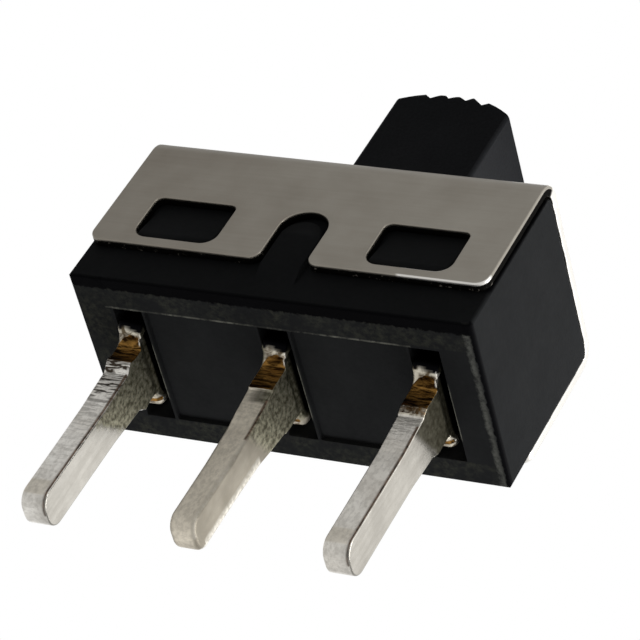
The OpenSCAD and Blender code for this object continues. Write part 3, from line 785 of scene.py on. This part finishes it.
def black_acetal():
    """Acetal, moulded: finer and more even satin black than the housing."""
    material, add, place = blank_material("black_acetal")
    cloud = noise(add, place, (0.6, 0.6, 0.6), 2.0)
    grain = noise(add, place, (12, 12, 12), rough=0.6)
    tone = add("Math", (cloud, 0.4, chain(add, "MULTIPLY", grain, 0.6)), operation="MULTIPLY_ADD")[0]
    finish(add, over(add, "141517", (tone, "333437")), 0.48, 0.0, grain, strength=0.3, distance=0.015)
    return material


def natural_acetal():
    """Uncoloured acetal: ivory, faintly waxy."""
    material, add, place = blank_material("natural_acetal")
    cloud = noise(add, place, (2, 2, 2), 2.0)
    finish(add, over(add, "ddd8c8", (cloud, "e8e4d8")), 0.4, 0.0, cloud, strength=0.1, distance=0.01)
    return material


def drawn_wire():
    """Drawn spring steel: fine lines and a bluish grey."""
    material, add, place = blank_material("drawn_spring_wire")
    line = noise(add, place, (14, 14, 14))
    finish(add, over(add, "9a9996", (line, "b8b7b3")), 0.28, 1.0, line, strength=0.1, distance=0.01)
    return material


def stamped_brass():
    """Stamped brass with a thin worn silver flash: pale yellow metal with lines along the strip."""
    material, add, place = blank_material("stamped_brass")
    line = noise(add, place, (0.6, 8, 8))
    finish(add, over(add, "c9a96a", (line, "dfcda0")), 0.3, 1.0, line, strength=0.15, distance=0.01)
    return material


def dress(piece, material):
    """Gives a piece one material on all its faces."""
    piece.data.materials.clear()
    piece.data.materials.append(material)
    piece.data.polygons.foreach_set("material_index", np.zeros(len(piece.data.polygons), int))


# ---------------------------------------------------------------------------------------------------
# Pieces
# ---------------------------------------------------------------------------------------------------
nylon = black_nylon()
acetal = black_acetal()
nickel = nickel_sheet()
silver = silver_plate()

housing = softened_copy("housing_moulding", "housing", HOUSING_EDGE, lambda p: p.z < PIN_SIDE_Z)
dress(housing, nylon)
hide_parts("housing")
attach(housing, "case")

knob = softened_copy("knob_moulding", "slider", KNOB_EDGE, lambda p: p.z > COVER_TOP)
dress(knob, acetal)
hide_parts("slider")
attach(knob, "knob")

shell = cover()
dress(shell, nickel)
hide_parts("cover")
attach(shell, "case")

crown_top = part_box("left_terminal")[1].z / MM
pivot_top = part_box("middle_terminal")[1].z / MM
outer = {"top": crown_top, "half": SHANK_HALF, "crown_r": HALF_T, "edge": 0.06}
terminals = {
    "left_terminal": {
        "name": "left_blade", "x": -PIN_PITCH, **outer, "lug": -0.3, "neck": (0.9, -1.06),
        "root": (0.68, -1.36), "brown": -1.04, "chatter": 1.0, "matt": (-2.95, 0.98, 0.12),
        "dull": 0.0, "shade": 0.0},
    "middle_terminal": {
        "name": "middle_blade", "x": 0.0, "top": pivot_top, "half": TONGUE_HALF, "crown_r": PIVOT_R,
        "edge": 0.16, "lug": -0.3, "neck": (0.82, -1.29), "root": (0.77, -1.33), "brown": -1.27,
        "chatter": 0.12, "matt": (-2.8, 0.56, 0.3), "dull": 1.0, "shade": 0.0},
    "right_terminal": {
        "name": "right_blade", "x": PIN_PITCH, **outer, "lug": -0.32, "neck": (0.74, -1.42),
        "root": (0.7, -1.46), "brown": -1.12, "chatter": 0.15, "matt": (-1.85, 0.55, 0.2),
        "dull": 0.2, "shade": 0.85}}
for node, shape in terminals.items():
    blade = terminal(**shape)
    dress(blade, silver)
    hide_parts(node)
    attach(blade, "case")

spring_low, spring_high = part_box("plunger_spring")
spring = coil("plunger_coil", (spring_low.x + spring_high.x) / 2 / MM, spring_low.z / MM,
              spring_high.z / MM, SPRING_R, WIRE_R, SPRING_TURNS)
dress(spring, drawn_wire())
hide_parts("plunger_spring")
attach(spring, "knob")

dress(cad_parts["plunger"], natural_acetal())
dress(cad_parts["rocking_contact"], stamped_brass())

# ---------------------------------------------------------------------------------------------------
# Stage and light
# ---------------------------------------------------------------------------------------------------
# Middle of the switch, width of the floor in metres, how much the floor glows to the camera and in
# reflections, and how strongly the white room lights the switch
CENTRE = Vector((0, 0, 2)) * MM
FLOOR_SIZE = 1.2
FLOOR_LIFT = 0.4
FLOOR_MIRRORED = 0.66
ROOM_LIGHT = 0.12


def square(name, size):
    """Flat square in the XY plane, facing +Z."""
    half = size / 2
    corners = np.array([(-half, -half, 0), (half, -half, 0), (half, half, 0), (-half, half, 0)])
    return new_object(name, corners, [[0, 1, 2, 3]])


def pale_floor():
    """Pale floor, seen and lit from above only: from below, and for light on its way to a lamp, it isn't
    there, so that the pin side can be looked at and lit. It is paler to the camera than its light makes
    it, keeps the shadows, and metal mirrors it as white."""
    material, add, _ = blank_material("pale_floor")
    path = add("LightPath")
    away = chain(add, "MAXIMUM", path["Is Shadow Ray"], add("NewGeometry")["Backfacing"])
    lift = chain(add, "MULTIPLY", path["Is Camera Ray"], FLOOR_LIFT)
    lift = add("Emission", {"Color": "ffffff", "Strength": lift})[0]
    pale = add("AddShader", (add("BsdfDiffuse", {"Color": "f2f1ee"})[0], lift))[0]
    mirrored = add("Emission", {"Color": "ffffff", "Strength": FLOOR_MIRRORED})[0]
    shown = add("MixShader", (path["Is Glossy Ray"], pale, mirrored))[0]
    add("OutputMaterial", add("MixShader", (away, shown, add("BsdfTransparent")[0])))
    return material


floor = square("floor", FLOOR_SIZE)
floor.data.transform(Matrix.Translation((0, 0, cad_bounds[0][2])))
dress(floor, pale_floor())
floor.visible_diffuse = False


def reflector(name, direction, distance, size, strength):
    """Card that only reflections see: it grades what the metal mirrors."""
    material, add, _ = blank_material(name)
    add("OutputMaterial", add("Emission", {"Color": "ffffff", "Strength": strength}))
    card = square(name, size)
    place = CENTRE + Vector(direction).normalized() * distance
    # The square's front is +Z, so its -Z side is aimed away from the switch
    card.data.transform(facing(place, place + (place - CENTRE)))
    dress(card, material)
    card.visible_camera = False
    card.visible_diffuse = False
    card.visible_shadow = False
    card.visible_transmission = False


reflector("grey_card", (-0.457, -0.610, 0.647), distance=0.11, size=0.3, strength=0.57)


def lamp(name, direction, distance, size, watts):
    """Square soft lamp that looks at the switch."""
    data = bpy.data.lights.new(name, "AREA")
    data.size = size
    data.energy = watts
    light = bpy.data.objects.new(name, data)
    light.matrix_world = facing(CENTRE + Vector(direction).normalized() * distance, CENTRE)
    bpy.context.scene.collection.objects.link(light)


lamp("end_light", (0.95, 0.22, 0.1), distance=0.25, size=0.16, watts=0.43)
lamp("pin_light", (0.1, 0.4, -0.9), distance=0.25, size=0.16, watts=0.22)
lamp("top_light", (-0.2, 0.25, 0.95), distance=0.30, size=0.20, watts=0.22)

world = bpy.data.worlds.new("studio")
bpy.context.scene.world = world
add = fresh_tree(world)
ray = add("LightPath")
shown = chain(add, "MAXIMUM", ray["Is Camera Ray"], ray["Is Glossy Ray"], ray["Is Transmission Ray"])
level = add("Mix", {0: shown, 2: ROOM_LIGHT, 3: 1.0})[0]
add("OutputWorld", add("Background", {"Color": "ffffff", "Strength": level}))

bpy.context.scene.view_settings.view_transform = "Standard"
